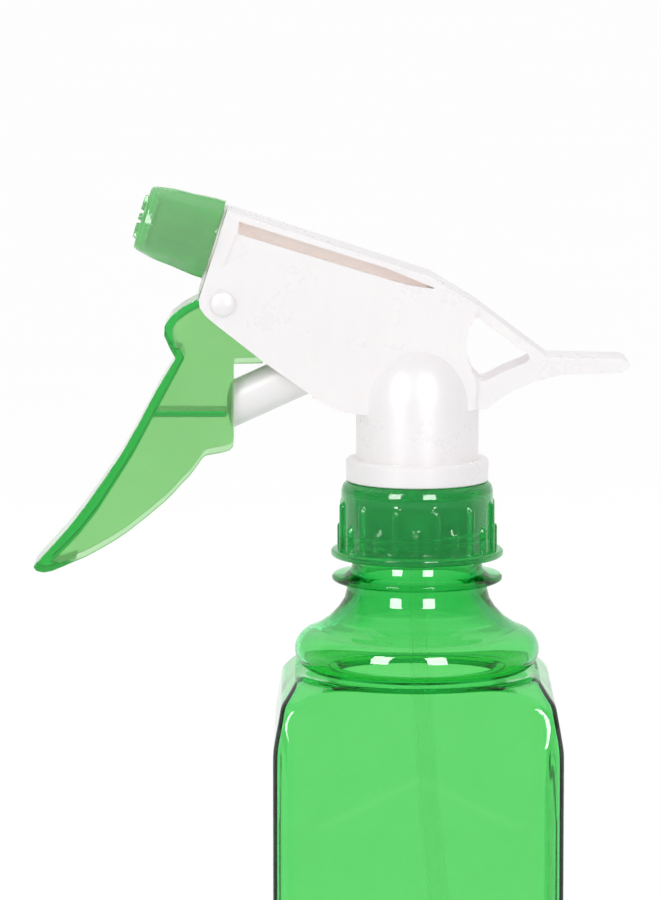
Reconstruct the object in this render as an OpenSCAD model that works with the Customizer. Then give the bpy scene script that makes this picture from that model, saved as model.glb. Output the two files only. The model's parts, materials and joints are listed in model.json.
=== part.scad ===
// Hand mister: trigger sprayer head on a transparent bottle.
// Units are millimetres. Origin: centre of the bottle's base. +Z is up, the
// nozzle points towards -X and the tail handle towards +X. The head is
// symmetrical about the X-Z plane, apart from the headed hinge pin.

/* [Part] */
// Which piece to draw

/* [Bottle] */
// Height of the neck's support ring above the base
ring_height = 130; // [112:1:150]
// Half the width across the flat sides of the body
body_half = 27.8; // [27.4:0.1:29]
// Wall thickness of the bottle
bottle_wall = 1.0; // [0.9:0.1:1.2]
// Depth of the panel pressed into each side
panel_depth = 0.35; // [0.2:0.05:0.4]

/* [Closure] */
// Number of tall grip ribs, with a short rib between each two
rib_pairs = 12; // [8:1:14]
// Radial height of the grip ribs
rib_proud = 0.8; // [0.5:0.1:1.0]

/* [Nozzle] */
// Number of flats round the nozzle cap
flute_count = 12; // [8:1:16]
// Radius of the spray hole
orifice_r = 0.4; // [0.3:0.05:0.6]

/* [Trigger] */
// Half the width of the trigger's finger plate
finger_half = 6.3; // [5.7:0.1:7]

/* [Hidden] */
$fn = 48;
lift = ring_height - 130;      // everything above the body moves with the ring
// colours
GREEN_CLEAR = [0.30, 0.85, 0.38, 0.45];
GREEN_DARK = [0.10, 0.52, 0.24, 0.75];
GREEN_TRIGGER = [0.38, 0.75, 0.38, 0.8];
WHITE = [0.96, 0.95, 0.94];
NATURAL = [0.93, 0.89, 0.80];
STEEL = [0.75, 0.75, 0.77];
// neck and closure thread, six threads to the inch, right-handed
neck_pitch = 4.233;
// hinge pin of the trigger
pin_x = -37.5;
pin_z = 184.1;
// pump axis: through this point, rising towards +X
pump_x = -34.4;
pump_z = 164.5;
pump_tilt = 24.5;
stroke = 9.6;
// nozzle axis: through this point, rising towards -X
noz_x = -39.75;
noz_z = 195.95;
noz_tilt = 17.6;
noz_pitch = 2.4;

// --- frames -------------------------------------------------------------
// local Z runs along the pump axis, into the cylinder
module pump_frame() {
    translate([pump_x, 0, pump_z + lift]) rotate([0, 90 - pump_tilt, 0]) children();
}
// local Z runs along the nozzle axis, out of the nozzle; local X is upwards
module nozzle_frame() {
    translate([noz_x, 0, noz_z + lift]) rotate([0, noz_tilt - 90, 0]) children();
}
// side view outline in X and Z, made into a plate from y0 to y1
module plate(y0, y1) {
    translate([0, y1, lift]) rotate([90, 0, 0]) linear_extrude(y1 - y0) children();
}
module tube(r1, r0, z0, z1) {
    translate([0, 0, z0]) difference() {
        cylinder(r = r1, h = z1 - z0);
        translate([0, 0, -1]) cylinder(r = r0, h = z1 - z0 + 2);
    }
}
module disc(r, z0, z1) {
    translate([0, 0, z0]) cylinder(r = r, h = z1 - z0);
}

// --- helices ------------------------------------------------------------
// thread rib: root at r0, crest at r1 (r1 < r0 for an internal rib), starting
// at height z0 and angle a0, with tapered run-out at both ends
module thread(r0, r1, pitch, turns, w0, w1, z0, a0 = 0, seg = 20) {
    n = ceil(turns * seg);
    function k(i) = min(1, min(i, n - i) / 2 + 0.08);
    function rc(i) = r0 + (r1 - r0) * k(i);
    pts = [for (i = [0:n]) let (a = a0 + 360 * turns * i / n, z = z0 + pitch * turns * i / n)
        each [
            [r0 * cos(a), r0 * sin(a), z - w0 / 2],
            [rc(i) * cos(a), rc(i) * sin(a), z - w1 / 2],
            [rc(i) * cos(a), rc(i) * sin(a), z + w1 / 2],
            [r0 * cos(a), r0 * sin(a), z + w0 / 2]]];
    out = r1 > r0;
    q = [for (i = [0:n - 1]) for (j = [0:3]) let (
            a = 4 * i + j, b = 4 * i + (j + 1) % 4, c = a + 4, d = b + 4)
        each (out ? [[a, b, d], [a, d, c]] : [[a, d, b], [a, c, d]])];
    cap0 = out ? [[3, 2, 1, 0]] : [[0, 1, 2, 3]];
    m = 4 * n;
    cap1 = out ? [[m, m + 1, m + 2, m + 3]] : [[m + 3, m + 2, m + 1, m]];
    polyhedron(pts, concat(q, cap0, cap1), convexity = 8);
}
// compression spring: wire radius w on coil radius r, from z0 to z1, with a
// flat closed turn at each end
module spring(r, w, z0, z1, turns, seg = 14, side = 6) {
    n = seg * (turns + 2);
    function zc(i) = let (t = i / seg)
        t < 1 ? z0 + w + 2 * w * 1.02 * t * 0.55 :
        t > turns + 1 ? z1 - w - 2 * w * 1.02 * (turns + 2 - t) * 0.55 :
        z0 + w + 1.122 * w + (z1 - z0 - 2 * w - 2.244 * w) * (t - 1) / turns;
    pts = [for (i = [0:n]) let (a = 360 * i / seg)
        for (j = [0:side - 1]) let (b = 360 * j / side)
            [(r + w * cos(b)) * cos(a), (r + w * cos(b)) * sin(a), zc(i) + w * sin(b)]];
    q = [for (i = [0:n - 1]) for (j = [0:side - 1]) let (
            a = side * i + j, b = side * i + (j + 1) % side, c = a + side, d = b + side)
        each [[a, b, d], [a, d, c]]];
    cap0 = [[for (j = [side - 1:-1:0]) j]];
    cap1 = [[for (j = [0:side - 1]) side * n + j]];
    polyhedron(pts, concat(q, cap0, cap1), convexity = 10);
}

// --- bottle -------------------------------------------------------------
function arc(cx, cy, r, a0, a1, n) =
    [for (i = [0:n]) let (a = a0 + (a1 - a0) * i / n) [cx + r * cos(a), cy + r * sin(a)]];
function up(pts) = [for (p = pts) [p[0], p[1] + lift]];
// body of the bottle grown inwards by t: four flat sides with rounded corners,
// each side leaning inwards in two steps at the shoulder
module body_shape(t, z_low) {
    difference() {
        intersection() {
            rotate_extrude() polygon(concat(
                [[0, z_low], [25, z_low]],
                arc(31.2 - t, z_low + 6, 6, -90, 0, 4),
                up([[37.2 - t, 102], [37 - t, 105.5 - t * 0.3], [36.2 - t, 107.6 - t * 0.5],
                    [34.5 - t * 0.8, 109.2 - t * 0.8], [32 - t * 0.6, 110.7 - t * 0.9], [29 - t * 0.4, 112.0 - t],
                    [27 - t * 0.2, 112.4 - t], [25, 112.3 - t], [22, 111.7 - t], [19, 111.3 - t],
                    [16.2 - t, 111.5 - t], [0, 111.5 - t]])));
            translate([0, 0, 60]) cube([2 * (body_half - t), 2 * (body_half - t), 240], center = true);
        }
        for (a = [0:90:270]) rotate(a) {
            lean(body_half - t * 1.02, 100, 10.3);
            lean(body_half - 1.1 - t * 1.25, 108.0, 38.2);
        }
    }
}
module lean(d, z, t) {
    translate([d, -40, z + lift]) rotate([0, -t, 0]) translate([0, 0, -4]) cube([30, 80, 44]);
}
module bottle() {
    color(GREEN_CLEAR) difference() {
        union() {
            body_shape(0, 0);
            // rounded ring above the shoulder, neck and rim
            rotate_extrude() polygon(up(concat(
                [[0, 110.8], [16.2, 110.8], [16.2, 111.9], [17.4, 112.25]],
                arc(19.6, 116.1, 4.1, -80, 72, 8),
                [[19.3, 120.8], [17.2, 122.2], [15.2, 124.2], [14.1, 126.0], [13.6, 127.8], [13.3, 129.2],
                 [12.9, 131.4], [12.5, 132.4], [12.5, 144.0], [12.3, 144.2], [0, 144.2]])));
            // support ring, thinner at its edge
            rotate_extrude() polygon(up([[12, 128.7], [14, 129.2], [16.2, 129.55], [16.5, 129.85],
                [16.5, 130.35], [16.2, 130.7], [13.4, 131.3], [12, 131.6]]));
            translate([0, 0, lift]) thread(12.3, 13.5, neck_pitch, 1.4, 2.2, 0.9, 136.9);
        }
        body_shape(bottle_wall, 1.2 + bottle_wall);
        // inside of the ring, the flare and the straight neck bore
        rotate_extrude() polygon(up(concat(
            [[0, 109.5], [16.2 - bottle_wall, 109.5], [16.2 - bottle_wall, 112.9], [17.4, 112.25 + bottle_wall]],
            arc(19.6, 116.1, 4.1 - bottle_wall, -80, 72, 8),
            [[18.4, 120.4 - bottle_wall * 0.7], [15.4, 121.0], [13.2, 122.9], [11.8, 124.8], [10.9, 126.4],
             [10.6, 127.4], [10.6, 145.2], [0, 145.2]])));
        // foot recess
        translate([0, 0, -1]) cylinder(r1 = 22, r2 = 19, h = 2);
        // pressed panel on each side, with a pitched top
        for (a = [0:90:270]) rotate(a)
            translate([body_half - panel_depth, 0, 0]) rotate([90, 0, 90]) linear_extrude(5)
                polygon([[-20, 12], [20, 12], [20, 86 + lift], [0, 95.8 + lift], [-20, 86 + lift]]);
    }
}

// --- closure ------------------------------------------------------------
module closure() {
    color(GREEN_DARK) translate([0, 0, lift]) union() {
        rotate_extrude() polygon([
            [13.85, 134.8], [14.1, 134.3], [16.45, 134.3], [16.7, 134.6], [16.7, 135.4],
            [16.45, 135.7], [15.0, 136.1], [14.75, 136.4], [14.7, 147.2], [14.4, 148.2],
            [13.8, 148.8], [13.2, 149.0], [10.7, 149.0], [10.7, 146.7], [13.85, 146.7]]);
        thread(14.1, 12.9, neck_pitch, 1.3, 2.2, 0.9, 134.95 + 0.55, 40);
        for (i = [0:rib_pairs - 1]) {
            rotate(i * 360 / rib_pairs - 106.5) rib(144.8);
            rotate((i + 0.5) * 360 / rib_pairs - 106.5) rib(140.3);
        }
    }
}
module rib(top) {
    translate([14.75, 0, 135.5]) {
        cylinder(r = rib_proud, h = top - 136.1, $fn = 16);
        translate([0, 0, top - 136.1]) cylinder(r1 = rib_proud, r2 = 0.3, h = 0.55, $fn = 16);
    }
}
module bottle_gasket() {
    color(WHITE) translate([0, 0, lift]) tube(12.6, 10.2, 144.2, 145.2);
}

// --- dip tube side ------------------------------------------------------
module tube_retainer() {
    color(NATURAL) translate([0, 0, lift]) difference() {
        union() {
            disc(12.6, 145.2, 146.6);
            disc(3.15, 146.5, 156.4);
            disc(3.7, 134.6, 145.3);
            // skirt that centres the plug in the neck
            tube(10.1, 9.1, 141.6, 145.3);
        }
        translate([0, 0, 134]) cylinder(r = 2.0, h = 9.4);
        translate([0, 0, 140]) cylinder(r = 1.3, h = 20);
        // seat for the ball
        translate([0, 0, 155.2]) cylinder(r1 = 1.2, r2 = 2.5, h = 1.3);
        // vent
        translate([8.0, 0, 140]) cylinder(r = 0.5, h = 10, $fn = 16);
    }
}
// one long curve, as the tube keeps the set of its coil
module dip_tube() {
    bend = 690;
    turn = (137.4 + lift) / bend * 57.2958;
    color([0.92, 0.95, 0.92, 0.6]) translate([bend, 0, 143.4 + lift]) rotate([90, 0, 0]) rotate([0, 0, 180])
        rotate_extrude(angle = turn, $fn = 720) translate([bend, 0]) difference() {
            circle(r = 2.0, $fn = 24);
            circle(r = 1.35, $fn = 24);
        }
}
module inlet_ball() {
    color(STEEL) translate([0, 0, 156.86 + lift]) sphere(r = 2.0, $fn = 24);
}

// --- housing ------------------------------------------------------------
HOUSE = [[-36.6, 202.0], [2.5, 189.2], [11.7, 183.6], [10.9, 181.5], [9.8, 179.3], [9.3, 177],
    [9.5, 173.6], [10.6, 170.6], [11.2, 168.9], [11.0, 163.5], [-9.5, 162.5], [-14, 163.0],
    [-17.9, 164.6], [-20.8, 166.6], [-29.9, 173.0], [-39.2, 180.3], [-40.9, 181.8],
    [-41.9, 183.3], [-42.1, 184.8], [-41.6, 186.3]];
HOUSE_IN = [[-35.5, 200.3], [2.2, 188.0], [10.3, 182.8], [9.6, 181.6], [8.6, 179.4], [8.1, 177],
    [8.3, 173.4], [9.4, 170.3], [9.8, 168], [9.8, 160], [-9.8, 160], [-9.8, 166], [-12.4, 166],
    [-12.4, 160], [-22, 160], [-34, 168],
    [-46, 178], [-46, 186.6], [-40.3, 186.6]];
TAIL = [[10.6, 184.2], [2, 181], [2, 168], [10.8, 163.5], [13.2, 163.6], [15.8, 165.6], [18.4, 167.2],
    [22.7, 169.0], [27.8, 170.3], [39.0, 170.6], [40.2, 171.1], [40.7, 171.95], [40.2, 172.8],
    [39.0, 173.3], [24.9, 173.6], [11.9, 183.4]];
TAIL_HOLE = [[11.6, 181.2], [21.3, 174.0], [21.5, 173.3], [21.0, 172.7], [16.6, 170.9], [12.9, 169.0], [12.2, 169.0],
    [10.6, 170.6], [9.5, 173.6], [9.3, 177], [9.8, 179.3], [10.9, 181.2]];
module dome(r, h, z) {
    rotate_extrude() polygon(concat([[0, 152], [r, 152]],
        [for (i = [0:8]) let (a = i * 11.25) [r * cos(a), z + h * sin(a)]]));
}
module housing() {
    color(WHITE) difference() {
        union() {
            plate(-7, 7) polygon(HOUSE);
            plate(-6.2, 6.2) polygon(TAIL);
            translate([0, 0, lift]) {
                dome(11.85, 13, 164.4);
                // collar, with a step that centres it in the closure
                rotate_extrude() polygon([[0, 149.1], [13.6, 149.1], [13.8, 149.3], [13.8, 153.0],
                    [13.4, 153.4], [0, 153.4]]);
                disc(10.55, 146.65, 149.6);
            }
        }
        plate(-7, 7) polygon(TAIL_HOLE);
        // inside of the shell
        plate(-5.8, 5.8) polygon(HOUSE_IN);
        translate([0, 0, lift]) {
            difference() {
                dome(10.65, 11.8, 164.4);
                translate([9.8, -20, 162]) cube([10, 40, 20]);
            }
            disc(9.3, 140, 153);
        }
        // hole for the nozzle barrel, through the front wall
        nozzle_frame() disc(5.75, -12, 3);
        // long slots in the sides
        plate(-8, 8) polygon([[-34.3, 199.9], [-6.3, 191.0], [3.0, 187.2], [3.2, 186.9],
            [-1.6, 187.6], [-4.2, 188.3], [-34.6, 197.5]]);
        // shallow step at the front of each side
        for (s = [-1, 1]) plate(min(s * 6.6, s * 8), max(s * 6.6, s * 8))
            polygon([[-37.4, 191.2], [-34.9, 197.5], [-32.5, 193.8]]);
        // holes for the hinge pin
        translate([pin_x, 8, pin_z + lift]) rotate([90, 0, 0]) cylinder(r = 1.55, h = 16, $fn = 32);
    }
}

// --- pump body ----------------------------------------------------------
module valve_body() {
    color(NATURAL) difference() {
        union() {
            translate([0, 0, lift]) {
                disc(4.7, 148, 186.0);
                disc(10.45, 152.05, 153.5);
                for (a = [45:90:315]) rotate(a) translate([0, -0.6, 153.4]) cube([9.6, 1.2, 5.5]);
            }
            pump_frame() disc(5.65, 13.3, 32);
            nozzle_frame() {
                disc(3.2, -48.5, 0);
                disc(4.6, -6, 11.1);
                disc(5.6, -4.5, -1.15);
            }
            nozzle_frame() thread(4.5, 5.15, noz_pitch, 1.6, 1.2, 0.5, 2.6, 0, 16);
            // stiffening web on top of the discharge tube
            plate(-0.6, 0.6) polygon([[-34, 195], [-34.6, 199.6], [2.0, 187.6], [0, 180]]);
            // web between the discharge tube and the pump cylinder
            plate(-0.6, 0.6) polygon([[-21, 173], [-21, 189], [0, 183], [0, 176]]);
        }
        translate([0, 0, lift]) {
            // riser bore with the ball chamber below
            disc(3.2, 140, 159.2);
            disc(1.7, 150, 183.3);
            for (a = [0, 90]) rotate(a) translate([-2.8, -0.5, 157]) cube([5.6, 1, 5]);
        }
        // pump cylinder and its port to the riser
        pump_frame() {
            disc(4.65, 10, 30);
            disc(1.2, 25, 36);
        }
        nozzle_frame() {
            // discharge bore, open at the back where the plug goes
            disc(1.3, -46.5, -1.3);
            disc(2.1, -52, -46);
            // ball seat, valve chamber and mouth
            translate([0, 0, -1.4]) cylinder(r1 = 1.3, r2 = 2.6, h = 1.3);
            disc(2.6, -0.12, 4.1);
            disc(3.1, 4.0, 12);
        }
    }
}
module discharge_plug() {
    color(NATURAL) nozzle_frame() {
        disc(2.06, -48.6, -46.1);
        disc(2.8, -49.4, -48.5);
    }
}

// --- piston -------------------------------------------------------------
module piston() {
    color(WHITE) difference() {
        union() {
            intersection() {
                pump_frame() disc(4.25, -6, 19.4);
                // crown that the trigger pushes on
                union() {
                    translate([-26.88, 0, pump_z - 0.5 + lift]) sphere(r = 10, $fn = 48);
                    pump_frame() disc(6, 3.5, 20);
                }
            }
            pump_frame() {
                disc(4.57, 14.6, 15.4);
                disc(4.57, 17.6, 19.4);
            }
        }
        pump_frame() {
            disc(3.2, 5.2, 25);
            difference() {
                disc(8, 15.4, 17.6);
                disc(3.8, 15, 18);
            }
        }
    }
}
module piston_seal() {
    color([0.2, 0.2, 0.2]) pump_frame() rotate_extrude() polygon(
        [[3.8, 15.5], [4.4, 15.5], [4.6, 15.9], [4.6, 16.3], [4.3, 16.5], [4.6, 16.7],
         [4.6, 17.1], [4.4, 17.5], [3.8, 17.5]]);
}
module piston_spring() {
    color(STEEL) pump_frame() spring(2.6, 0.38, 5.25, 29.95, 7);
}

// --- trigger ------------------------------------------------------------
// front (finger) outline from the top of the nub to the tip
FRONT = [[-42.2, 184.9], [-45.2, 183.3], [-47.5, 181.5], [-48.7, 179.6], [-48.8, 177.7],
    [-47.9, 175.7], [-46.6, 173.4], [-49.9, 168.0], [-53.8, 160.7], [-56.9, 155.2], [-60.5, 149.9],
    [-64.1, 144.8], [-67.6, 140.3], [-70.8, 136.8], [-73.4, 133.9]];
BACK = [[-74.2, 132.9], [-73.6, 132.1], [-72.2, 131.8], [-70.6, 132.1], [-67.9, 133.2], [-64.0, 134.8],
    [-61.1, 136.4], [-58.35, 138.0], [-56.0, 139.6], [-54.1, 141.1], [-52.1, 142.7], [-50.2, 144.3],
    [-48.45, 145.8], [-46.9, 147.4], [-45.5, 149.0], [-44.0, 150.5], [-42.8, 152.1], [-41.4, 154.1],
    [-40.8, 154.5], [-37.6, 155.1], [-36.3, 155.5], [-35.6, 156.2], [-35.5, 157.0]];
EAR = concat([[-35.5, 172.3], [-29.8, 172.4], [-29.7, 173.6]], arc(pin_x, pin_z, 3.4, 0, 140, 6));
// inner side of the finger plate
NUB_IN = [[-46.4, 174.6], [-46.8, 176.2], [-47.2, 177.7], [-47.2, 179.1], [-46.3, 180.5], [-44.2, 182.1], [-41.5, 183.5]];
LOW_IN = [[-65.9, 134.6], [-69.2, 133.5], [-70.9, 133.9], [-68.9, 135.7], [-65.5, 139.2],
    [-61.9, 143.8], [-58.5, 149.1], [-55.1, 154.5], [-52.2, 160.0], [-48.4, 167.2], [-45.0, 173.4], [-45.6, 175.0]];
module trigger() {
    color(GREEN_TRIGGER) difference() {
        union() {
            for (s = [-1, 1]) plate(s * 5.05 - 0.55, s * 5.05 + 0.55) polygon(concat(FRONT, BACK, EAR));
            plate(-5.6, 5.6) polygon(concat([for (i = [0:5]) FRONT[i]], NUB_IN));
            plate(-finger_half, finger_half)
                polygon(concat([for (i = [5:len(FRONT) - 1]) FRONT[i]], [for (i = [0:4]) BACK[i]], LOW_IN));
            // cross rib, whose rounded end pushes the piston
            plate(-5.2, 5.2) polygon([[-52.3, 162.0], [-37.3, 162.0], [-36.95, 162.15], [-36.8, 162.5],
                [-36.95, 162.85], [-37.3, 163.0], [-52.3, 163.0]]);
            // hub round the pin
            translate([pin_x, 5.6, pin_z + lift]) rotate([90, 0, 0]) cylinder(r = 2.9, h = 11.2, $fn = 32);
        }
        translate([pin_x, 8, pin_z + lift]) rotate([90, 0, 0]) cylinder(r = 1.56, h = 16, $fn = 32);
    }
}
module trigger_pin() {
    color(WHITE) translate([pin_x, 0, pin_z + lift]) rotate([90, 0, 0]) {
        disc(1.5, -7.3, 7.1);
        // domed head on the near side
        rotate_extrude($fn = 32) polygon([[0, 7.0], [2.45, 7.0], [2.45, 7.5], [2.2, 7.9], [1.6, 8.2], [0.8, 8.35], [0, 8.4]]);
    }
}

// --- nozzle -------------------------------------------------------------
// spacer ring behind the cap, with a tongue down the front of the housing
module nozzle_ring() {
    color(NATURAL) nozzle_frame() difference() {
        union() {
            disc(7.1, -1.1, -0.62);
            translate([-10.3, -4.5, -1.1]) cube([10, 9, 0.48]);
        }
        disc(4.7, -3, 2);
    }
}
module nozzle_cap() {
    color(GREEN_DARK) nozzle_frame() union() {
        difference() {
            union() {
                rotate_extrude() polygon([[0, -0.5], [8.0, -0.5], [8.2, -0.3], [8.2, 1.0], [8.0, 3.5], [7.6, 6.8],
                    [7.1, 9.9], [6.62, 12.4], [6.35, 13.4], [6.1, 13.75], [5.5, 13.9], [0, 13.9]]);
                // raised dial marks on the front face
                for (i = [0:7]) rotate(i * 45) translate([2.4, -0.35, 13.8]) cube([1.8, 0.7, 0.9]);
            }
            disc(5.45, -1, 8);
            disc(5.25, 7, 12.2);
            disc(orifice_r, 10, 16);
            translate([0, 0, 13.1]) cylinder(r1 = orifice_r + 0.3, r2 = 1.7, h = 1.0);
            // flats round the grip, running out towards the front
            for (i = [0:flute_count - 1]) rotate(i * 360 / flute_count + 2)
                translate([7.95, -4, -2]) rotate([0, -4, 0]) cube([3, 8, 16]);
        }
        thread_cap();
    }
}
module thread_cap() {
    thread(5.8, 4.8, noz_pitch, 1.5, 1.3, 0.5, 1.75, 30, 16);
}
module nozzle_washer() {
    color([0.95, 0.94, 0.9]) nozzle_frame() tube(5.2, 1.95, 11.15, 12.15);
}
module nozzle_insert() {
    color(WHITE) nozzle_frame() difference() {
        union() {
            disc(3.05, 4.2, 9.4);
            disc(1.75, 9.3, 12.15);
        }
        // recess that holds the spring
        disc(1.9, 4.0, 6.0);
        // feed slots down the side and swirl slots across the end
        for (a = [0:120:240]) rotate(a) {
            translate([2.3, -0.5, 3]) cube([2, 1, 10]);
            translate([0.4, -0.3, 11.6]) cube([3, 0.6, 1]);
        }
        disc(0.9, 11.6, 13);
    }
}
module outlet_ball() {
    color(STEEL) nozzle_frame() translate([0, 0, 0.02]) sphere(r = 1.9, $fn = 24);
}
module outlet_spring() {
    color(STEEL) nozzle_frame() spring(1.4, 0.22, 1.42, 5.97, 4, 12, 6);
}

bottle();
closure();
bottle_gasket();
tube_retainer();
dip_tube();
inlet_ball();
housing();
valve_body();
discharge_plug();
piston();
piston_seal();
piston_spring();
trigger();
trigger_pin();
nozzle_ring();
nozzle_cap();
nozzle_washer();
nozzle_insert();
outlet_ball();
outlet_spring();
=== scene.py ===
import bpy, bmesh, json, math
import numpy as np
from mathutils import Vector, Matrix


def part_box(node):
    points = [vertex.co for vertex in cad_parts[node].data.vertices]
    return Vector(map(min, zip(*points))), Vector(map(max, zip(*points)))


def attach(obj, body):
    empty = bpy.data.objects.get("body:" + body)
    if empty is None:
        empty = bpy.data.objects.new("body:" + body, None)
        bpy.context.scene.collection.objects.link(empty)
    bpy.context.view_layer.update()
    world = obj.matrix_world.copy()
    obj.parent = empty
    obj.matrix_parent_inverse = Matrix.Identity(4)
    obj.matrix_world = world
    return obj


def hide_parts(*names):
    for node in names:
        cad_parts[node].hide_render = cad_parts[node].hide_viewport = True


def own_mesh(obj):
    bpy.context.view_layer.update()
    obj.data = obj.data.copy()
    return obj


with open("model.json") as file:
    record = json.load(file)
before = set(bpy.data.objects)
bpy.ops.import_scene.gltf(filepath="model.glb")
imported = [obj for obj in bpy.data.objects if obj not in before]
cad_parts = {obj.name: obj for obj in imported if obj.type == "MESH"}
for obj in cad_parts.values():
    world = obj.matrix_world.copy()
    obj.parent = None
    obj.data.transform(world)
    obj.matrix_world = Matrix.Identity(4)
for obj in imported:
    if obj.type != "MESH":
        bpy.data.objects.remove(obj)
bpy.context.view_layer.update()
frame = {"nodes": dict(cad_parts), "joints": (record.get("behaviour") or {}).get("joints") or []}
NODES = frame["nodes"]
JOINTS = {j["name"]: j for j in frame["joints"]}
MM = 0.001

# ------------------------------------------------------------------ frames
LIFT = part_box("closure")[0].z * 1000 - 134.3          # neck height against the drawn one
NOZ_O = np.array(JOINTS["nozzle_turn"]["pos_m"]) * 1000
NOZ_Z = np.array(JOINTS["nozzle_turn"]["axis"], float)
NOZ_Z /= np.linalg.norm(NOZ_Z)
PUMP_Z = np.array(JOINTS["piston_stroke"]["axis"], float)
PUMP_Z /= np.linalg.norm(PUMP_Z)
PUMP_O = np.array([-34.4, 0.0, 164.5 + LIFT])


def basis(z):
    y = np.array([0.0, 1.0, 0.0])
    x = np.cross(y, z)
    return np.stack([x, y, z], 1)


# ------------------------------------------------------------- node helpers
def node(nt, kind, inputs=None, **props):
    n = nt.nodes.new(kind)
    for k, v in props.items():
        setattr(n, k, v)
    for k, v in (inputs or {}).items():
        s = n.inputs[k]
        if isinstance(v, bpy.types.NodeSocket):
            nt.links.new(v, s)
        else:
            s.default_value = v
    return n


def col(c):
    return (c[0], c[1], c[2], 1.0)


def srgb(r, g, b):
    def f(v):
        v /= 255.0
        return v / 12.92 if v <= 0.04045 else ((v + 0.055) / 1.055) ** 2.4
    return (f(r), f(g), f(b))


def noise(nt, co, scale, detail=2.0, rough=0.5, dist=0.0):
    return node(nt, "ShaderNodeTexNoise", {"Vector": co, "Scale": scale, "Detail": detail,
                                           "Roughness": rough, "Distortion": dist}).outputs["Fac"]


def ranged(nt, v, lo, hi, a=0.3, b=0.7):
    return node(nt, "ShaderNodeMapRange", {"Value": v, "From Min": a, "From Max": b,
                                           "To Min": lo, "To Max": hi}).outputs["Result"]


def mixcol(nt, f, a, b):
    n = node(nt, "ShaderNodeMix", data_type="RGBA")
    for i, v in ((0, f), (6, a), (7, b)):
        s = n.inputs[i]
        if isinstance(v, bpy.types.NodeSocket):
            nt.links.new(v, s)
        else:
            s.default_value = v if i == 0 else col(v)
    return n.outputs[2]


def bump(nt, h, dist, strength=1.0, normal=None):
    ins = {"Height": h, "Distance": dist, "Strength": strength}
    if normal is not None:
        ins["Normal"] = normal
    return node(nt, "ShaderNodeBump", ins).outputs["Normal"]


def math_(nt, op, a, b=0.0):
    n = node(nt, "ShaderNodeMath", operation=op)
    for i, v in ((0, a), (1, b)):
        if isinstance(v, bpy.types.NodeSocket):
            nt.links.new(v, n.inputs[i])
        else:
            n.inputs[i].default_value = v
    return n.outputs[0]


def start(name):
    m = bpy.data.materials.new(name)
    m.use_nodes = True
    nt = m.node_tree
    nt.nodes.clear()
    out = node(nt, "ShaderNodeOutputMaterial")
    co = node(nt, "ShaderNodeTexCoord").outputs["Object"]
    return m, nt, out, co


def opaque(name, light, dark, r_lo, r_hi, fine=1500.0, grain=0.00002, broad=70.0, sss=0.0,
           radius=(1.0, 0.9, 0.8), coat=0.0, ior=1.5, metallic=0.0, wave=0.00006, streak=None,
           glow=0.0):
    """Moulded opaque plastic, rubber or steel: broad colour drift, flow marks, fine grain."""
    m, nt, out, co = start(name)
    a = noise(nt, co, broad, 3.0, 0.55, 0.4)
    g = noise(nt, co, fine, 2.0, 0.6)
    flow = node(nt, "ShaderNodeMapping", {"Vector": co, "Scale": streak or (1.0, 1.0, 0.22)}).outputs["Vector"]
    s = noise(nt, flow, 420.0, 3.0, 0.6, 0.6)
    shade = math_(nt, "ADD", ranged(nt, a, 0.0, 0.6), ranged(nt, s, 0.0, 0.4))
    base = mixcol(nt, shade, light, dark)
    rough = math_(nt, "ADD", ranged(nt, a, r_lo, r_hi), ranged(nt, g, -0.03, 0.03))
    nrm = bump(nt, g, grain, 0.5, bump(nt, a, wave * 3, 0.4))
    p = node(nt, "ShaderNodeBsdfPrincipled", {"Base Color": base, "Roughness": rough, "IOR": ior,
                                              "Metallic": metallic, "Normal": nrm, "Coat Weight": coat,
                                              "Coat Roughness": 0.12})
    if glow:                              # painted glow: emission that stands in for the light coming through the thin walls around it
        nt.links.new(base, p.inputs["Emission Color"])
        p.inputs["Emission Strength"].default_value = glow
    if sss:
        p.inputs["Subsurface Weight"].default_value = sss
        p.inputs["Subsurface Radius"].default_value = radius
        p.inputs["Subsurface Scale"].default_value = 0.0012
    nt.links.new(p.outputs[0], out.inputs["Surface"])
    return m


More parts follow.
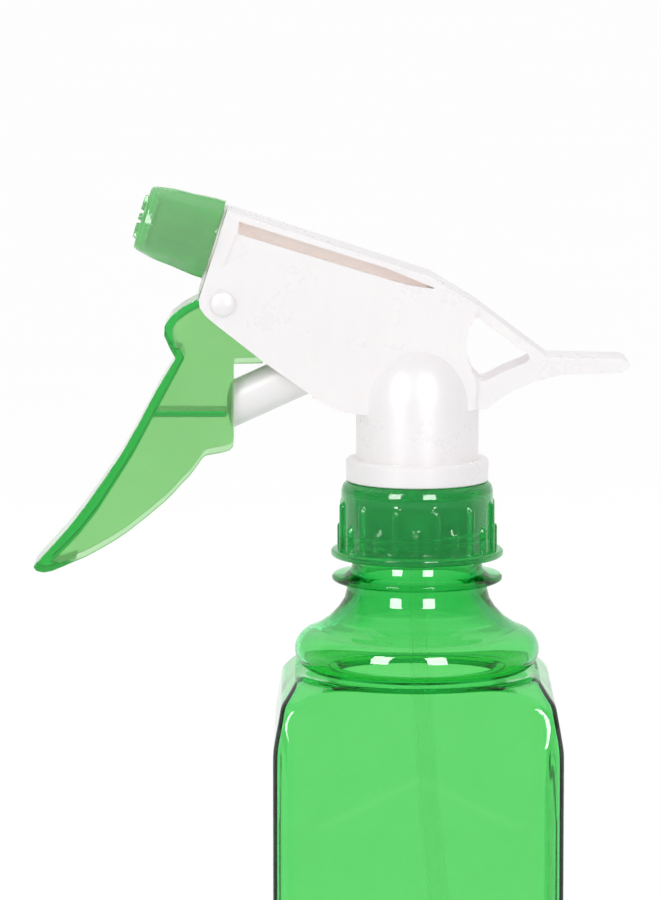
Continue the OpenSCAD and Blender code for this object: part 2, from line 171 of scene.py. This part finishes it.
def clear(name, tint, tint2, absorb, rough=0.04, rough2=0.1, milky=0.0, milk=(0.5, 0.8, 0.5), ior=1.47,
          wave=0.0001, wave_scale=40.0, grain=0.000004, fine=900.0, coat=0.0, gloss=0.0):
    """See-through tinted plastic: tinted surfaces, a body that darkens with thickness,
    slow waves in the wall, fine grain and a share of cloudiness."""
    m, nt, out, co = start(name)
    a = noise(nt, co, wave_scale, 2.0, 0.45, 0.3)
    b = noise(nt, co, wave_scale * 5.0, 2.0, 0.5, 0.2)
    g = noise(nt, co, fine, 2.0, 0.6)
    base = mixcol(nt, ranged(nt, b, 0.0, 1.0), tint, tint2)
    r = math_(nt, "ADD", ranged(nt, a, rough, rough2), ranged(nt, g, 0.0, 0.02))
    nrm = bump(nt, g, grain, 0.4, bump(nt, a, wave, 0.6, bump(nt, b, wave * 0.12, 0.5)))
    p = node(nt, "ShaderNodeBsdfPrincipled", {"Base Color": base, "Roughness": r, "IOR": ior,
                                              "Transmission Weight": 1.0, "Normal": nrm,
                                              "Coat Weight": coat, "Coat Roughness": 0.03, "Coat IOR": 1.48})
    surf = p.outputs[0]
    if gloss > 0:                         # the moulded skin's shine, kept low at the outline
        skin = node(nt, "ShaderNodeBsdfAnisotropic", {"Color": (1, 1, 1, 1), "Roughness": 0.02, "Normal": nrm}).outputs[0]
        facing = node(nt, "ShaderNodeLayerWeight", {"Blend": 0.3, "Normal": nrm}).outputs["Facing"]
        surf = node(nt, "ShaderNodeMixShader", {0: ranged(nt, facing, gloss, gloss * 3.0, 0.2, 1.0), 1: surf, 2: skin}).outputs[0]
    if milky > 0:
        d = node(nt, "ShaderNodeBsdfDiffuse", {"Color": col(milk), "Normal": nrm}).outputs[0]
        t = node(nt, "ShaderNodeBsdfTranslucent", {"Color": col(milk), "Normal": nrm}).outputs[0]
        dt = node(nt, "ShaderNodeMixShader", {0: 0.35, 1: d, 2: t}).outputs[0]
        f = ranged(nt, a, milky * 0.85, milky * 1.15)
        surf = node(nt, "ShaderNodeMixShader", {0: f, 1: surf, 2: dt}).outputs[0]
    nt.links.new(surf, out.inputs["Surface"])
    top = max(absorb) * 1.02
    v = node(nt, "ShaderNodeVolumeAbsorption", {"Color": col([1 - x / top for x in absorb]), "Density": top})
    nt.links.new(v.outputs[0], out.inputs["Volume"])
    return m


M = {
    "bottle": clear("clear_green_bottle", (0.54, 0.966, 0.515), (0.525, 0.955, 0.50), (310.0, 72.0, 160.0),
                    0.0, 0.03, wave=0.00035, wave_scale=24.0, ior=1.10, gloss=0.045),
    "closure": clear("clear_green_closure", (0.50, 0.92, 0.58), (0.46, 0.90, 0.54), (330.0, 60.0, 200.0),
                     0.03, 0.08, milky=0.30, milk=(0.08, 0.88, 0.22), wave=0.00004, ior=1.42, coat=0.6),
    "closure_core": clear("clear_green_closure_core", (0.50, 0.92, 0.58), (0.46, 0.90, 0.54), (330.0, 60.0, 200.0),
                          0.22, 0.34, milky=0.20, milk=(0.08, 0.88, 0.22), wave=0.00004, ior=1.42),
    "trigger": clear("clear_green_trigger", (0.87, 0.99, 0.71), (0.84, 0.98, 0.68), (300.0, 55.0, 185.0),
                     0.03, 0.10, milky=0.10, milk=(0.40, 0.78, 0.36), wave=0.00005, ior=1.42, coat=0.4),
    "nozzle": clear("clear_green_nozzle", (0.82, 0.98, 0.77), (0.79, 0.97, 0.74), (150.0, 22.0, 105.0),
                    0.02, 0.07, milky=0.42, milk=(0.46, 0.98, 0.46), wave=0.00004, ior=1.42, coat=0.6),
    "nozzle_core": clear("clear_green_nozzle_core", (0.82, 0.98, 0.77), (0.79, 0.97, 0.74), (150.0, 22.0, 105.0),
                         0.35, 0.5, milky=0.30, milk=(0.46, 0.97, 0.46), wave=0.00004, ior=1.42),
    "white": opaque("white_plastic", (0.955, 0.925, 0.935), (0.925, 0.893, 0.903), 0.26, 0.38, sss=0.2,
                    radius=(1.0, 0.85, 0.75), grain=0.000005),
    # natural parts: the warm beige tint is partly the plastic's own colour and partly painted warm shade; glow=0.12
    # is a painted glow
    "natural": opaque("natural_plastic", (0.96, 0.905, 0.875), (0.935, 0.875, 0.835), 0.35, 0.5, sss=0.2, glow=0.12),
    "soft": opaque("soft_white", (0.90, 0.89, 0.85), (0.84, 0.83, 0.79), 0.45, 0.6, sss=0.2),
    "tube": clear("tube_plastic", (0.985, 0.993, 0.982), (0.97, 0.985, 0.965), (10.0, 4.0, 10.0),
                  0.0, 0.03, wave=0.00002, ior=1.05, coat=0.15),
    "rubber": opaque("black_rubber", (0.035, 0.035, 0.035), (0.02, 0.02, 0.02), 0.5, 0.65),
    "steel": opaque("stainless", (0.66, 0.66, 0.68), (0.52, 0.52, 0.55), 0.16, 0.30, metallic=1.0,
                    grain=0.000004, streak=(0.2, 1.0, 1.0)),
}


# ------------------------------------------------------------- mesh helpers
def build(name, verts, faces, mat, body, repl=(), smooth=True, core=None, inside=None):
    me = bpy.data.meshes.new(name)
    me.from_pydata([tuple(v) for v in verts], [], faces)
    bm = bmesh.new()
    bm.from_mesh(me)
    bmesh.ops.remove_doubles(bm, verts=bm.verts, dist=1e-7)
    bmesh.ops.dissolve_degenerate(bm, edges=bm.edges, dist=1e-8)
    bmesh.ops.recalc_face_normals(bm, faces=bm.faces)
    bm.to_mesh(me)
    bm.free()
    if smooth:
        me.polygons.foreach_set("use_smooth", [True] * len(me.polygons))
    me.materials.append(mat)
    if core is not None:                 # the moulding's inner side has a coarser finish
        me.materials.append(core)
        c = np.zeros(len(me.polygons) * 3)
        me.polygons.foreach_get("center", c)
        me.polygons.foreach_set("material_index", inside(c.reshape(-1, 3) * 1000).astype(np.int32))
    ob = bpy.data.objects.new(name, me)
    bpy.context.scene.collection.objects.link(ob)
    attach(ob, body)
    if repl:
        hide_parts(*repl)
    return ob


def grid_faces(nr, nc, wrap_rows):
    f = []
    for i in range(nr if wrap_rows else nr - 1):
        a = i * nc
        b = ((i + 1) % nr) * nc
        for j in range(nc):
            k = (j + 1) % nc
            f.append((a + j, a + k, b + k, b + j))
    return f


def fillet(points, r=0.15, n=3):
    """Rounds every corner of a closed or open polyline of (x, z, optional radius)."""
    out = []
    P = [np.array(p[:2], float) for p in points]
    for i, p in enumerate(P):
        a, b = P[i - 1], P[(i + 1) % len(P)]
        rr = points[i][2] if len(points[i]) > 2 else r
        u, v = a - p, b - p
        lu, lv = np.linalg.norm(u), np.linalg.norm(v)
        if rr <= 0 or lu < 1e-9 or lv < 1e-9:
            out.append(p)
            continue
        u, v = u / lu, v / lv
        c = np.clip(u @ v, -1, 1)
        ang = math.acos(c)
        if ang > math.radians(177):
            out.append(p)
            continue
        t = min(rr / math.tan(ang / 2), lu * 0.45, lv * 0.45)
        s, e = p + u * t, p + v * t
        for k in range(n + 1):
            w = k / n
            out.append((1 - w) ** 2 * s + 2 * w * (1 - w) * p + w * w * e)
    return out


def dense(points, step, closed=True):
    """Splits long segments so that no piece is longer than step(z) allows."""
    out = []
    n = len(points)
    for i in range(n if closed else n - 1):
        a, b = points[i], points[(i + 1) % n]
        L = np.linalg.norm(b - a)
        m = max(1, int(math.ceil(L / step((a + b) / 2))))
        for k in range(m):
            out.append(a + (b - a) * k / m)
    if not closed:
        out.append(points[-1])
    return out


def sstep(x, a, b):
    t = np.clip((x - a) / (b - a), 0, 1)
    return t * t * (3 - 2 * t)


def thread_height(theta, z, z0, pitch, turns, w0, w1, a0):
    """0..1 height of a thread rib at angle theta (degrees, array) and height z."""
    h = np.zeros_like(theta)
    base = (theta - a0) % 360.0
    for k in range(int(math.ceil(turns)) + 1):
        f = base + 360.0 * k
        inside = f <= 360.0 * turns
        zc = z0 + pitch * f / 360.0
        fade = sstep(f, 0, 22) * (1 - sstep(f, 360.0 * turns - 22, 360.0 * turns))
        prof = sstep(w0 / 2 - np.abs(z - zc), 0.0, (w0 - w1) / 2)
        h = np.maximum(h, np.where(inside, prof * fade, 0))
    return h


# ------------------------------------------------------------------ bottle
def make_bottle():
    NC = 336
    th = np.arange(NC) * 2 * math.pi / NC
    ct, st_ = np.cos(th), np.sin(th)
    half = 27.8
    prof = np.array([[37.2, 95], [37.2, 102], [37.0, 105.5], [36.2, 107.6], [34.5, 109.2], [32, 110.7],
                     [29, 112.0], [27, 112.4], [25, 112.3], [22, 111.7], [19, 111.3], [16.2, 111.45], [12, 111.6]])
    CZ = 95.0

    def smin(ts, k):
        ts = np.array(ts)
        m = ts.min(0)
        return m - k * np.log(np.exp(-(ts - m) / k).sum(0))

    def rho_of(t):
        p = prof.copy()
        nrm = np.gradient(p, axis=0)
        nrm = np.stack([nrm[:, 1], -nrm[:, 0]], 1)
        nrm /= np.linalg.norm(nrm, axis=1)[:, None]
        q = p - nrm * t
        ph = np.arctan2(q[:, 1] - CZ, q[:, 0])
        rh = np.hypot(q[:, 0], q[:, 1] - CZ)
        g = np.linspace(0, ph.max(), 600)
        d = np.interp(g, ph, rh)
        k = np.exp(-0.5 * (np.arange(-24, 25) / 9.0) ** 2)
        k /= k.sum()
        pad = np.concatenate([d[:1].repeat(24), d, d[-1:].repeat(24)])
        return g, np.convolve(pad, k, "valid")

    def upper(phi, t):
        g, d = rho_of(t)
        rho = np.interp(phi, g, d)
        cp, sp = math.cos(phi), math.sin(phi)
        ts = [np.full(NC, rho)]
        for c in (np.abs(ct), np.abs(st_)):
            c = np.maximum(c, 1e-3)
            ts.append((half - t) / (cp * c))
            for d0, z0, ang in ((half, 100.0, 10.3), (half - 1.1, 108.0, 38.2)):
                a = math.radians(ang)
                c0 = math.cos(a) * d0 + math.sin(a) * z0 - t
                ts.append((c0 - math.sin(a) * CZ) / (math.cos(a) * cp * c + math.sin(a) * sp))
        r = smin(ts, 0.15)
        return np.stack([r * cp * ct, r * cp * st_, np.full(NC, CZ) + r * sp], 1)

    def level(z, t):
        ts = [np.full(NC, 37.2 - t)]
        for c in (np.abs(ct), np.abs(st_)):
            ts.append((half - t) / np.maximum(c, 1e-3))
        r = smin(ts, 0.15)
        return np.stack([r * ct, r * st_, np.full(NC, z)], 1)

    def lower(phi, t, cz, zf):
        cp, sp = math.cos(phi), math.sin(phi)
        ts = [np.full(NC, (37.2 - t) / max(cp, 1e-4))]
        for c in (np.abs(ct), np.abs(st_)):
            ts.append((half - t) / np.maximum(cp * c, 1e-4))
        ts.append(np.full(NC, (cz - zf) / max(-sp, 1e-4)))
        r = smin(ts, 1.5 - 0.5 * t)
        # rounded heel of the corners
        x, y, z = r * cp * ct, r * cp * st_, np.full(NC, cz) + r * sp
        return np.stack([x, y, z], 1)

    def panel(p, sign):
        """pressed panel with a pitched top on each of the four sides"""
        q = p.copy()
        for ax in (0, 1):
            u = p[:, 1 - ax]
            near = np.abs(p[:, ax]) > 26.0 - (0 if sign > 0 else 1.2)
            e = np.minimum.reduce([20 - np.abs(u), p[:, 2] - 12,
                                   (95.8 - 0.49 * np.abs(u) - p[:, 2]) / 1.1136])
            d = 0.42 * sstep(e, -0.2, 1.5)
            q[:, ax] -= np.where(near, np.sign(p[:, ax]) * d, 0)
        return q

    def wall(t, zf):
        """rows from the bottom centre out and up to the shoulder's top"""
        rows = []
        cz = 20.0
        for phi in np.concatenate([np.linspace(-88, -52, 14), np.linspace(-50, -18, 30), np.linspace(-16, 0, 5)]):
            rows.append(lower(math.radians(phi), t, cz, zf))
        for z in list(np.arange(22.5, 79, 2.5)) + list(np.arange(79, 95.01, 0.8)):
            rows.append(level(z, t))
        top = math.atan2(111.5 - t * 0.9 - CZ, 17.4 - (2.0 if t else 0))
        for phi in np.concatenate([np.arange(0.9, 16, 0.9), np.linspace(16.4, math.degrees(top), 46)]):
            rows.append(upper(math.radians(phi), t))
        return rows

    def turn(r, z):
        return np.stack([r * ct, r * st_, np.full(NC, z)], 1)

    rows = [panel(r, 1) for r in wall(0.0, 0.0)]
    for r in rows[:40]:                                  # foot recess
        rad = np.hypot(r[:, 0], r[:, 1])
        r[:, 2] += np.where(r[:, 2] < 4, 1.0 * (1 - sstep(rad, 19.5, 22.6)), 0)
    # ring, neck, support ring and rim as one turned outline
    ring = [[17.15, 111.62, 0], [17.05, 111.8, 0], [17.35, 111.97, 0]]
    for i in range(27):
        a = math.radians(-84 + i * (72 + 84) / 26)
        ring.append([19.6 + 4.1 * math.cos(a), 116.1 + 4.1 * math.sin(a), 0])
    neck = [[19.75, 120.45, 0.6], [18.6, 121.15, 0.8], [17.1, 122.2, 1.2], [15.2, 124.2, 1.2], [14.1, 126.0, 1.0],
            [13.65, 127.8, 0.5], [13.7, 129.0, 0.25], [16.1, 129.5, 0.2], [16.5, 129.85, 0.15], [16.5, 130.35, 0.15],
            [16.1, 130.75, 0.2], [13.3, 131.2, 0.3], [12.75, 132.0, 0.3], [12.5, 133.2, 0.3], [12.5, 143.7, 0.2],
            [12.25, 144.2, 0.2], [10.85, 144.2, 0.2], [10.6, 143.8, 0.2],
            [10.6, 127.4, 0.8], [10.9, 126.4, 0.6], [11.8, 124.8, 1.0], [13.2, 122.9, 1.2], [15.4, 121.0, 1.2],
            [18.4, 119.75, 0.8]]
    inner = []
    for i in range(25):
        a = math.radians(68 - i * (68 + 80) / 24)
        inner.append([19.6 + 3.1 * math.cos(a), 116.1 + 3.1 * math.sin(a), 0])
    inner += [[18.6, 113.05, 0.3], [15.6, 112.7, 0.4], [15.25, 112.0, 0.4], [15.3, 110.9, 0.3]]
    pts = [np.array(p[:2], float) for p in ring]
    nk = fillet([[19.6 + 4.1 * math.cos(math.radians(72)), 116.1 + 4.1 * math.sin(math.radians(72)), 0]] + neck
                + [inner[0]], 0.3, 4)
    pts += nk[1:-1]
    pts += [np.array(p[:2], float) for p in inner]

    def step(p):
        return 0.3 if 132.8 < p[1] < 144.3 and p[0] > 11.5 else 0.55
    pts = dense(pts, step, closed=False)
    deg = np.degrees(th)
    for r, z in pts:
        row = turn(r, z)
        if r > 12.3 and 132.5 < z < 144:
            h = thread_height(deg, z, 136.9, 4.233, 1.4, 2.4, 0.8, 0.0)
            row = turn(1.0, z)
            rr = r + 1.0 * h
            row = np.stack([rr * ct, rr * st_, np.full(NC, z)], 1)
        rows.append(row)
    rows += [panel(r, -1) for r in wall(1.0, 2.2)][::-1]
    n = len(rows)
    V = np.concatenate(rows + [np.array([[0, 0, 1.0], [0, 0, 2.2]])])
    V[:, 2] += np.where(V[:, 2] > 90, LIFT, LIFT * np.clip((V[:, 2] - 12) / 78, 0, 1))
    F = grid_faces(n, NC, False)
    c0, c1 = n * NC, n * NC + 1
    for j in range(NC):
        k = (j + 1) % NC
        F.append((c0, k, j))
        F.append((c1, (n - 1) * NC + j, (n - 1) * NC + k))
    return build("bottle_shell", V * MM, F, M["bottle"], "bottle", ["bottle"])


# ----------------------------------------------------------------- closure
def make_closure():
    NC = 768
    th = np.arange(NC) * 2 * math.pi / NC
    ct, st_ = np.cos(th), np.sin(th)
    deg = np.degrees(th)
    out = [[13.85, 134.7, 0.1], [14.05, 134.3, 0.15], [16.35, 134.3, 0.25], [16.7, 134.65, 0.25], [16.7, 135.4, 0.25],
           [16.4, 135.7, 0.25], [15.15, 135.82, 0.4], [14.75, 136.3, 0.4], [14.7, 147.2, 0.5], [14.4, 148.2, 0.6],
           [13.7, 148.85, 0.4], [13.1, 149.0, 0.2], [10.75, 149.0, 0.15], [10.7, 146.75, 0.15], [13.6, 146.7, 0.3],
           [13.85, 146.4, 0.3]]
    P = dense(fillet(out, 0.2, 4), lambda p: 0.16 if (p[0] > 14.6 and (143.9 < p[1] < 145.9 or 139.6 < p[1] < 141.6 or p[1] < 136.8))
              else (0.45 if p[0] > 14.6 else 0.3))
    rows = []
    for r, z in P:
        rr = np.full(NC, r)
        if r > 14.6 and z > 135.6 and r < 15.4:
            best = np.zeros(NC)
            for i in range(24):
                a = -106.5 + i * 15.0
                top = 144.4 if i % 2 == 0 else 140.0
                u = ((deg - a + 180) % 360 - 180) * math.pi / 180 * 14.75
                v = max(0.0, z - top)
                d2 = u * u + v * v
                cap = np.sqrt(np.maximum(0.88 ** 2 - d2, 0))
                h = np.maximum(0, 14.62 + cap - r) * (d2 < 0.88 ** 2)
                best = np.maximum(best, h)
            rr = rr + best
        if abs(r - 13.85) < 0.06 and 134.5 < z < 146.5:
            h = thread_height(deg, z, 135.5, 4.233, 1.3, 2.3, 0.8, 40.0)
            rr = rr - 0.95 * h
        rows.append(np.stack([rr * ct, rr * st_, np.full(NC, z + LIFT)], 1))
    V = np.concatenate(rows)
    return build("closure_shell", V * MM, grid_faces(len(rows), NC, True), M["closure"], "closure",
                 ["closure"], core=M["closure_core"],
                 inside=lambda c: (np.hypot(c[:, 0], c[:, 1]) < 13.9) & (c[:, 2] < 146.9 + LIFT))


# -------------------------------------------------------------- nozzle cap
def make_cap():
    NC = 432
    th = np.arange(NC) * 2 * math.pi / NC
    deg = np.degrees(th)
    B = basis(NOZ_Z)
    out = [[5.5, -0.45, 0.1], [7.95, -0.5, 0.15], [8.2, -0.2, 0.15], [8.2, 1.2, 0.5], [7.98, 3.6, 2], [7.6, 6.8, 2],
           [7.12, 9.8, 2], [6.62, 12.2, 1], [6.38, 13.2, 0.4], [6.05, 13.78, 0.3], [5.55, 13.95, 0.2], [5.2, 13.72, 0.15],
           [4.95, 13.78, 0.15], [1.9, 13.9, 0.25], [1.2, 13.35, 0.3], [0.42, 13.1, 0.06], [0.4, 12.2, 0.05],
           [4.9, 12.2, 0.3], [5.25, 11.8, 0.3], [5.25, 7.1, 0.1], [5.45, 6.9, 0.1]]
    P = dense(fillet(out, 0.2, 4), lambda p: 0.13 if (p[1] > 13.3 and 2 < p[0] < 4.9) else (0.28 if p[0] > 5.6 else 0.3))
    rows = []
    for r, z in P:
        rr = np.full(NC, r)
        zz = np.full(NC, z)
        if r > 5.6 and z > -0.4:
            # flats round the grip, deepest at the rear and gone near the front
            fade = 1 - sstep(np.array(z), 5.5, 11.5)
            delta = ((deg - 2.0 + 15) % 30 - 15) * math.pi / 180
            flat = (r * (1 - 0.062 * fade)) / np.cos(delta)
            k = 0.03
            rr = r - k * np.log1p(np.exp(np.clip((r - flat) / k, -50, 50)))
            rr = np.where(fade > 0.001, rr, r)
        if z > 13.3 and 1.6 < r < 4.9:
            u = ((deg + 22.5) % 45 - 22.5) * math.pi / 180 * r
            a = sstep(0.45 - np.abs(u), -0.02, 0.22)
            b = sstep(np.array(r), 2.15, 2.5) * (1 - sstep(np.array(r), 4.15, 4.5))
            zz = zz + 0.8 * a * b
        if abs(r - 5.45) < 0.08 and 0.0 < z < 7:
            h = thread_height(deg, z, 1.75, 2.4, 1.5, 1.3, 0.5, 30.0)
            rr = rr - 0.65 * h
        rows.append(np.stack([rr * np.cos(th), rr * np.sin(th), zz], 1) @ B.T + NOZ_O)
    V = np.concatenate(rows)
    return build("nozzle_cap_shell", V * MM, grid_faces(len(rows), NC, True), M["nozzle"], "nozzle_cap",
                 ["nozzle_cap"], core=M["nozzle_core"],
                 inside=lambda c: (np.linalg.norm(np.cross(c - NOZ_O, NOZ_Z), axis=1) < 5.55)
                 & ((c - NOZ_O) @ NOZ_Z < 12.6))


# ----------------------------------------------------------------- springs
def make_spring(name, origin, zax, r, w, z0, z1, turns, body, repl):
    """round wire coil with closed, ground-looking ends"""
    B = basis(zax)
    seg, side = 44, 12
    n = seg * (turns + 2)
    t = np.arange(n + 1) / seg
    gap = 2 * w * 1.02 * 0.55
    zc = np.where(t < 1, z0 + w + gap * t,
                  np.where(t > turns + 1, z1 - w - gap * (turns + 2 - t),
                           z0 + w + gap + (z1 - z0 - 2 * w - 2 * gap) * (t - 1) / turns))
    k = np.exp(-0.5 * (np.arange(-10, 11) / 5.0) ** 2)
    k /= k.sum()
    pad = np.concatenate([zc[:1].repeat(10), zc, zc[-1:].repeat(10)])
    zc = np.convolve(pad, k, "valid")
    rows = []
    for i in range(n + 1):
        a = 2 * math.pi * t[i]
        e = min(1.0, min(i, n - i) / 3.0)
        ww = w * (0.72 + 0.28 * e)
        b = np.arange(side) * 2 * math.pi / side
        rad = r + ww * np.cos(b)
        p = np.stack([rad * math.cos(a), rad * math.sin(a), zc[i] + ww * np.sin(b)], 1)
        rows.append(p @ B.T + origin)
    V = np.concatenate(rows)
    F = grid_faces(n + 1, side, False)
    F.append(tuple(range(side - 1, -1, -1)))
    F.append(tuple(n * side + j for j in range(side)))
    return build(name, V * MM, F, M["steel"], body, repl)


make_bottle()
make_closure()
make_cap()
spring = make_spring("pump_coil", PUMP_O, PUMP_Z, 2.6, 0.38, 5.27, 29.93, 7, "head", ["piston_spring"])
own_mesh(spring)
coil = make_spring("valve_coil", NOZ_O, NOZ_Z, 1.4, 0.22, 1.43, 5.96, 4, "head", ["outlet_spring"])
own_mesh(coil)


# --------------------------------------------------- nodes kept from the CAD
def keep(name, mat, width=0.0, seg=3, limit=28.0, flat=1.0):
    o = NODES[name]
    me = o.data
    if "custom_normal" in me.attributes:
        me.attributes.remove(me.attributes["custom_normal"])
    me.polygons.foreach_set("use_smooth", [True] * len(me.polygons))
    me.materials.clear()
    me.materials.append(mat)
    me.polygons.foreach_set("material_index", [0] * len(me.polygons))
    w = o.modifiers.new("weld", "WELD")
    w.merge_threshold = 2e-6
    if flat:
        d = o.modifiers.new("flat", "DECIMATE")
        d.decimate_type = "DISSOLVE"
        d.angle_limit = math.radians(flat)
    if width:
        b = o.modifiers.new("edge", "BEVEL")
        b.width = width * MM
        b.segments = seg
        b.limit_method = "ANGLE"
        b.angle_limit = math.radians(limit)
        b.harden_normals = True
        b.use_clamp_overlap = True
        b.miter_outer = "MITER_ARC"
    else:
        s = o.modifiers.new("normals", "WEIGHTED_NORMAL")
        s.keep_sharp = True
    return o


keep("housing", M["white"], 0.32, 3, flat=0.12)
keep("trigger", M["trigger"], 0.28, 3)
keep("trigger_pin", M["white"], 0.12, 2)
keep("piston", M["white"], 0.15, 2)
keep("piston_seal", M["rubber"], 0.0)
keep("nozzle_ring", M["soft"], 0.14, 2)
keep("nozzle_washer", M["soft"], 0.08, 2)
keep("nozzle_insert", M["white"], 0.06, 2)
keep("valve_body", M["natural"], 0.12, 2)
keep("discharge_plug", M["natural"], 0.1, 2)
keep("bottle_gasket", M["soft"], 0.1, 2)
keep("tube_retainer", M["natural"], 0.1, 2)
keep("dip_tube", M["tube"], 0.0, flat=0)
keep("inlet_ball", M["steel"], 0.0, flat=0)
keep("outlet_ball", M["steel"], 0.0, flat=0)


# ------------------------------------------------------------------- stage
DIM = 0.14                     # how bright the dim front of the studio looks in a mirror


def make_floor():
    """plain pale sweep that the bottle stands on"""
    nr, nc = 60, 96
    rows = []
    for i in range(nr):
        r = 0.004 + 6.0 * (i / (nr - 1)) ** 2
        a = np.arange(nc) * 2 * math.pi / nc
        rows.append(np.stack([r * np.cos(a), r * np.sin(a), np.full(nc, -0.0002)], 1))
    V = np.concatenate(rows + [np.array([[0, 0, -0.0002]])])
    F = grid_faces(nr, nc, False) + [(nr * nc, (j + 1) % nc, j) for j in range(nc)]
    me = bpy.data.meshes.new("floor")
    me.from_pydata([tuple(v) for v in V], [], F)
    me.update()
    ob = bpy.data.objects.new("floor", me)
    bpy.context.scene.collection.objects.link(ob)
    m, nt, out, co = start("floor_white")
    a = noise(nt, co, 9.0, 3.0, 0.5)
    base = mixcol(nt, ranged(nt, a, 0, 1), (0.93, 0.93, 0.93), (0.91, 0.91, 0.91))
    d = node(nt, "ShaderNodeBsdfDiffuse", {"Color": base, "Normal": bump(nt, noise(nt, co, 500.0), 0.00005, 0.3)}).outputs[0]
    path = node(nt, "ShaderNodeLightPath")
    e = node(nt, "ShaderNodeEmission", {"Color": (1, 1, 1, 1), "Strength": 0.02}).outputs[0]
    lit = node(nt, "ShaderNodeAddShader", {0: d, 1: e}).outputs[0]
    # through the object the floor is as white as the backdrop; mirrored in it, the front is dim
    through = node(nt, "ShaderNodeEmission", {"Color": (1, 1, 1, 1), "Strength": 1.04}).outputs[0]
    y = node(nt, "ShaderNodeSeparateXYZ", {"Vector": co}).outputs["Y"]
    seen = node(nt, "ShaderNodeEmission", {"Color": (1, 1, 1, 1),
                                           "Strength": ranged(nt, y, DIM, 1.0, -0.3, 0.3)}).outputs[0]
    clean = node(nt, "ShaderNodeMixShader", {0: 0.2, 1: through, 2: lit}).outputs[0]
    s = node(nt, "ShaderNodeMixShader", {0: path.outputs["Is Transmission Ray"], 1: lit, 2: through}).outputs[0]
    s = node(nt, "ShaderNodeMixShader", {0: path.outputs["Is Camera Ray"], 1: s, 2: clean}).outputs[0]
    s = node(nt, "ShaderNodeMixShader", {0: path.outputs["Is Glossy Ray"], 1: s, 2: seen}).outputs[0]
    nt.links.new(s, out.inputs["Surface"])
    me.materials.append(m)


make_floor()

world = bpy.data.worlds.new("studio")
bpy.context.scene.world = world
world.use_nodes = True
nt = world.node_tree
nt.nodes.clear()
wout = node(nt, "ShaderNodeOutputWorld")
lp = node(nt, "ShaderNodeLightPath")
# diffuse light comes softer than the white that is seen behind and through the object
sky = node(nt, "ShaderNodeSeparateXYZ", {"Vector": node(nt, "ShaderNodeTexCoord").outputs["Generated"]})
g = node(nt, "ShaderNodeMix", {0: lp.outputs["Is Diffuse Ray"], 2: 1.0,
                               3: ranged(nt, sky.outputs["Z"], 0.46, 0.86, 0.1, 0.6)}, data_type="FLOAT").outputs[0]
sky = sky.outputs["Y"]
g2 = node(nt, "ShaderNodeMix", {0: lp.outputs["Is Glossy Ray"], 2: g, 3: ranged(nt, sky, DIM, 0.85, -0.3, 0.6)},
          data_type="FLOAT").outputs[0]
bg = node(nt, "ShaderNodeBackground", {"Color": (1.0, 1.0, 1.0, 1.0), "Strength": g2})
nt.links.new(bg.outputs[0], wout.inputs["Surface"])


def softbox(name, az, dist, el, w, h, power, aim, part="both"):
    """tall soft light; az from the camera's side, to the right positive"""
    a, e = math.radians(az), math.radians(el)
    p = Vector((math.sin(a) * math.cos(e), -math.cos(a) * math.cos(e), math.sin(e))) * dist + Vector(aim)
    L = bpy.data.lights.new(name, "AREA")
    L.shape = "RECTANGLE"
    L.size, L.size_y = w, h
    L.energy = power
    o = bpy.data.objects.new(name, L)
    o.location = p
    o.rotation_euler = (Vector(aim) - p).to_track_quat("-Z", "Y").to_euler()
    bpy.context.scene.collection.objects.link(o)
    o.visible_camera = False
    o.visible_transmission = False
    o.visible_diffuse = part != "shine"
    o.visible_glossy = part != "fill"
    return o


AIM = (-0.017, 0.0, 0.15)
softbox("fill_left", -37, 0.75, 20, 0.34, 0.66, 0.85, AIM, "fill")
softbox("fill_right", 21, 0.75, 20, 0.34, 0.66, 0.72, AIM, "fill")
softbox("fill_back", 155, 0.9, 40, 0.6, 0.6, 1.0, AIM, "fill")
softbox("shine_left", -35, 0.75, 22, 0.24, 0.55, 7.0, AIM, "shine")
softbox("shine_right", 20, 0.75, 22, 0.24, 0.55, 7.0, AIM, "shine")

# ------------------------------------------------------------------ camera
EL = math.radians(7.5)
D = 1.15
P = Vector((-0.0169, 0.0032, 0.15445 + LIFT * MM))
cam = bpy.data.cameras.new("camera")
cam.sensor_width = 36.0
cam.lens = 36.0 * D / 0.17476
cam.clip_start = 0.01
co_ = bpy.data.objects.new("camera", cam)
co_.location = P - Vector((0, math.cos(EL), -math.sin(EL))) * D
co_.rotation_euler = (P - co_.location).to_track_quat("-Z", "Y").to_euler()
bpy.context.scene.collection.objects.link(co_)
sc = bpy.context.scene
sc.camera = co_
sc.view_settings.view_transform = "Standard"
sc.view_settings.look = "None"
sc.cycles.max_bounces = 24
sc.cycles.transmission_bounces = 20
sc.cycles.transparent_max_bounces = 16
sc.cycles.glossy_bounces = 8
sc.cycles.diffuse_bounces = 10
sc.cycles.volume_bounces = 0
sc.cycles.caustics_refractive = True
sc.cycles.caustics_reflective = False
sc.cycles.sample_clamp_indirect = 6.0
